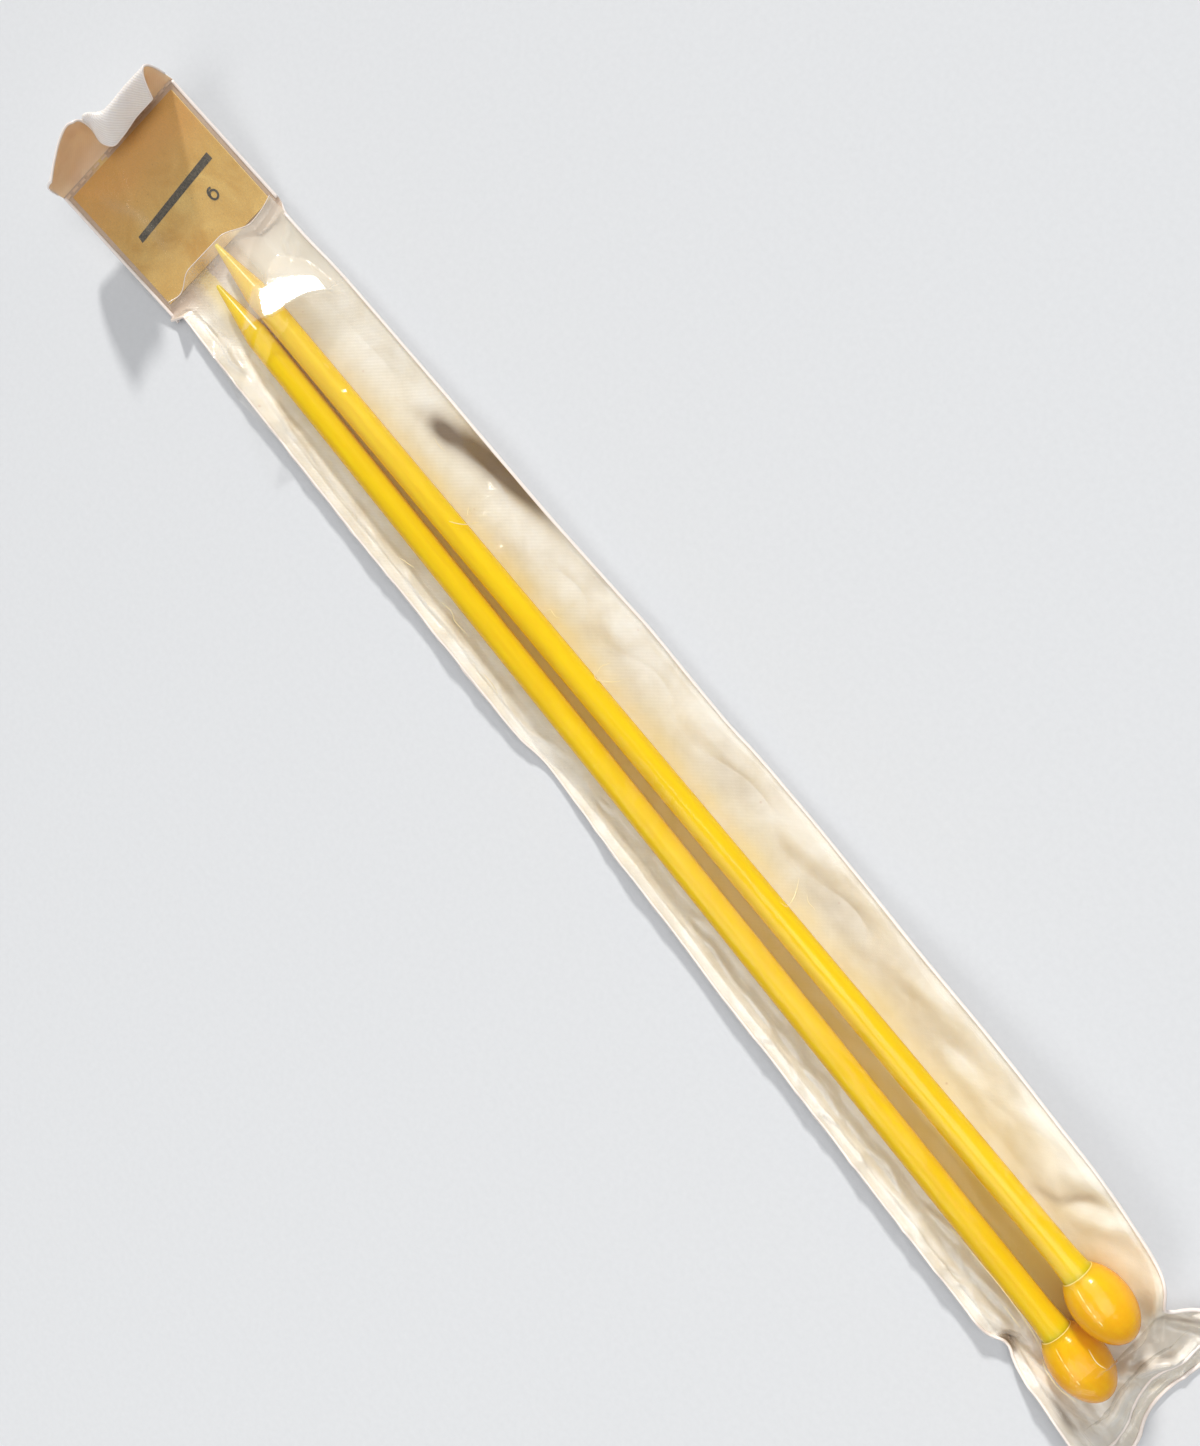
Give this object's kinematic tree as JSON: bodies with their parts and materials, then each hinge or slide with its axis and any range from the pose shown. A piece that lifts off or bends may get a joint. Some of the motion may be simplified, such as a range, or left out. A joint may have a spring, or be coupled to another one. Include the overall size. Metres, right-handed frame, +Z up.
{
  "type": "knitting needle pair",
  "caption": "Pair of straight plastic knitting needles with knob heads, in a clear-fronted vinyl sleeve with a label flap and a curled tongue.",
  "frame": {"origin": "on the table, under the middle of the pouch's flat underside", "axes": "+X along the pouch from the needles' points to their heads, +Y across it to the second needle's side, +Z up from the table"},
  "size_m": [0.303, 0.0338, 0.0209],
  "materials": {
    "ribbed_vinyl": "soft pearly vinyl with fine ribs",
    "clear_film": "clear glossy film",
    "kraft_card": "smooth golden kraft",
    "yellow_plastic": "glossy",
    "orange_plastic": "glossy"
  },
  "bodies": {
    "sleeve": {"sleeve_back": "ribbed_vinyl", "front_film": "clear_film"},
    "label_flap": {"label_back": "ribbed_vinyl", "label_card": "kraft_card", "label_window": "clear_film"},
    "tongue": {"top_tongue": "ribbed_vinyl"},
    "needle_a": {"needle_a_shaft": "yellow_plastic", "needle_a_head": "orange_plastic"},
    "needle_b": {"needle_b_shaft": "yellow_plastic", "needle_b_head": "orange_plastic"}
  },
  "joints": [
    {"name": "needle_a_draw", "type": "slide", "parent": "sleeve", "child": "needle_a", "axis": [-1, -0.0055, 0.0028], "range_m": [0, 0.3], "deforming": ["front_film", "label_back", "label_window", "label_card", "top_tongue"]},
    {"name": "needle_b_draw", "type": "slide", "parent": "sleeve", "child": "needle_b", "axis": [-1, 0.003, 0], "range_m": [0, 0.3], "deforming": ["front_film", "label_back", "label_window", "label_card", "top_tongue"]},
    {"name": "label_fold", "type": "hinge", "parent": "sleeve", "child": "label_flap", "pos_m": [-0.133, 0, 0.0006], "axis": [0, 1, 0], "range_deg": [-190, 8]},
    {"name": "tongue_curl", "type": "hinge", "parent": "label_flap", "child": "tongue", "pos_m": [-0.16453, 0, 0.00867], "axis": [0, 1, 0], "range_deg": [-110, 5]}
  ]
}
